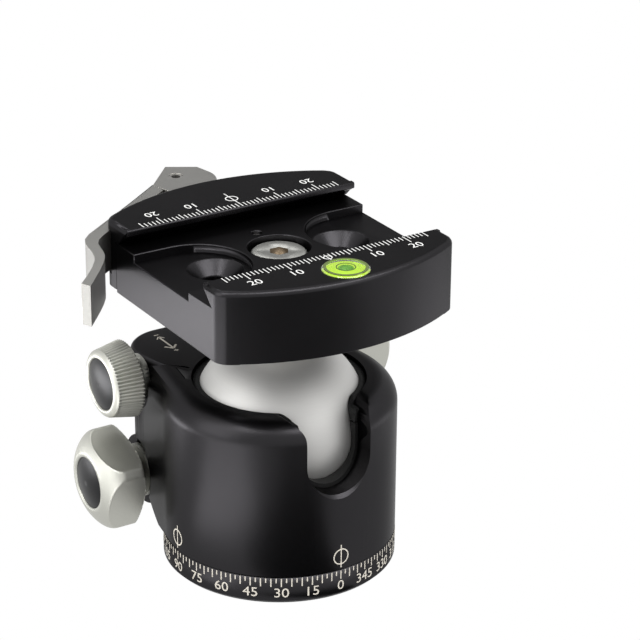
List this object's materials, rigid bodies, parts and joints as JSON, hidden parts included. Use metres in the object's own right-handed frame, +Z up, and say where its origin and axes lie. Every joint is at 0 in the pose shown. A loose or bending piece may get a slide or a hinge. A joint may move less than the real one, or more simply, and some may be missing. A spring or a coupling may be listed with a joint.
{
  "type": "tripod ball head",
  "caption": "Ball head with panning base, locking knobs, drop notch and a lever-release dovetail clamp with a round bubble level.",
  "frame": {"origin": "centre of the 3/8-16 tripod socket on the underside of the base", "axes": "+Z up along the pan axis; -Y towards the drop notch and the fixed jaw; the drag and pan controls point to -X and the main lock to +X"},
  "size_m": [0.0901, 0.0859, 0.0792],
  "materials": {
    "anodised_black": "satin black anodised aluminium",
    "insert_steel": "turned steel",
    "polymer_dark": "dark bearing polymer",
    "spring_steel": "ground steel",
    "bare_aluminium": "satin turned aluminium",
    "titanium_grey": "bead-blasted titanium-grey anodised aluminium",
    "cap_black": "domed black cap",
    "plated_steel": "plated steel",
    "shoe_bronze": "bearing bronze",
    "blasted_silver": "bead-blasted silver with polished edges",
    "vial_clear": "clear moulded cup",
    "vial_green": "yellow-green fluid",
    "bubble_air": "air bubble"
  },
  "bodies": {
    "base": {"base_plate": "anodised_black", "thread_insert": "insert_steel", "thrust_washer": "polymer_dark", "brake_disc": "spring_steel", "disc_screws": "spring_steel"},
    "housing": {"housing": "anodised_black", "bearing_plate": "spring_steel", "plate_screws": "spring_steel", "support_ring": "spring_steel", "ball_liner": "polymer_dark", "main_bush": "plated_steel", "drag_bush": "plated_steel", "pan_bush": "plated_steel"},
    "race": {"race_ring": "polymer_dark"},
    "ball": {"ball_stem": "bare_aluminium"},
    "clamp": {"clamp_body": "anodised_black", "centre_screw": "plated_steel", "rod_pin": "plated_steel", "jaw_springs": "spring_steel", "draw_rod": "plated_steel", "pivot_pin": "plated_steel", "vial_body": "vial_clear", "vial_liquid": "vial_green", "vial_bubble": "bubble_air"},
    "jaw": {"moving_jaw": "anodised_black", "guide_pins": "plated_steel"},
    "lever": {"lever": "blasted_silver"},
    "main_control": {"main_knob": "titanium_grey", "main_cap": "cap_black", "main_shaft": "plated_steel"},
    "main_wedge": {"main_pin": "plated_steel"},
    "main_brake": {"main_shoe": "shoe_bronze"},
    "drag_control": {"drag_knob": "titanium_grey", "drag_cap": "cap_black", "drag_shaft": "plated_steel"},
    "drag_wedge": {"drag_pin": "plated_steel"},
    "drag_brake": {"drag_shoe": "shoe_bronze"},
    "pan_control": {"pan_knob": "titanium_grey", "pan_cap": "cap_black", "pan_shaft": "plated_steel"},
    "pan_wedge": {"pan_pin": "plated_steel"},
    "pan_brake": {"pan_shoe": "shoe_bronze"}
  },
  "joints": [
    {"name": "pan", "type": "hinge", "parent": "base", "child": "housing", "pos_m": [0, 0, 0], "axis": [0, 0, 1], "continuous": true},
    {"name": "ball_azimuth", "type": "hinge", "parent": "housing", "child": "race", "pos_m": [0, 0, 0.0332], "axis": [0, 0, 1], "range_deg": [-360, 0]},
    {"name": "ball_tilt", "type": "hinge", "parent": "race", "child": "ball", "pos_m": [0, 0, 0.0332], "axis": [1, 0, 0], "range_deg": [-35, 90]},
    {"name": "clamp_turn", "type": "hinge", "parent": "ball", "child": "clamp", "pos_m": [0, 0, 0.0625], "axis": [0, 0, 1], "continuous": true},
    {"name": "lever_turn", "type": "hinge", "parent": "clamp", "child": "lever", "pos_m": [0, 0.0463, 0.0703], "axis": [0, 0, -1], "range_deg": [0, 95]},
    {"name": "jaw_slide", "type": "slide", "parent": "clamp", "child": "jaw", "axis": [0, 1, 0], "range_m": [0, 0.0045]},
    {"name": "main_knob_turn", "type": "hinge", "parent": "housing", "child": "main_control", "pos_m": [0.02, 0.025, 0.035], "axis": [1, 0, 0], "range_deg": [0, 270]},
    {"name": "main_pin_slide", "type": "slide", "parent": "housing", "child": "main_wedge", "axis": [-1, 0, 0], "range_m": [0, 0.000375]},
    {"name": "main_shoe_slide", "type": "slide", "parent": "housing", "child": "main_brake", "axis": [0, -1, 0], "range_m": [0, 0.00009375]},
    {"name": "drag_knob_turn", "type": "hinge", "parent": "housing", "child": "drag_control", "pos_m": [-0.02, 0.025, 0.0389], "axis": [-1, 0, 0], "range_deg": [0, 270]},
    {"name": "drag_pin_slide", "type": "slide", "parent": "housing", "child": "drag_wedge", "axis": [1, 0, 0], "range_m": [0, 0.000375]},
    {"name": "drag_shoe_slide", "type": "slide", "parent": "housing", "child": "drag_brake", "axis": [0, -1, 0], "range_m": [0, 0.00009375]},
    {"name": "pan_knob_turn", "type": "hinge", "parent": "housing", "child": "pan_control", "pos_m": [-0.02, 0.025, 0.015], "axis": [-1, 0, 0], "range_deg": [0, 270]},
    {"name": "pan_pin_slide", "type": "slide", "parent": "housing", "child": "pan_wedge", "axis": [1, 0, 0], "range_m": [0, 0.000375]},
    {"name": "pan_shoe_slide", "type": "slide", "parent": "housing", "child": "pan_brake", "axis": [0, 0, -1], "range_m": [0, 0.00009375]}
  ],
  "couplings": [
    {"joint": "jaw_slide", "follows": "lever_turn", "m_per_rad": 0.002714},
    {"joint": "main_pin_slide", "follows": "main_knob_turn", "m_per_rad": 0.00007957},
    {"joint": "main_shoe_slide", "follows": "main_knob_turn", "m_per_rad": 0.000019892},
    {"joint": "drag_pin_slide", "follows": "drag_knob_turn", "m_per_rad": 0.00007957},
    {"joint": "drag_shoe_slide", "follows": "drag_knob_turn", "m_per_rad": 0.000019892},
    {"joint": "pan_pin_slide", "follows": "pan_knob_turn", "m_per_rad": 0.00007957},
    {"joint": "pan_shoe_slide", "follows": "pan_knob_turn", "m_per_rad": 0.000019892}
  ]
}
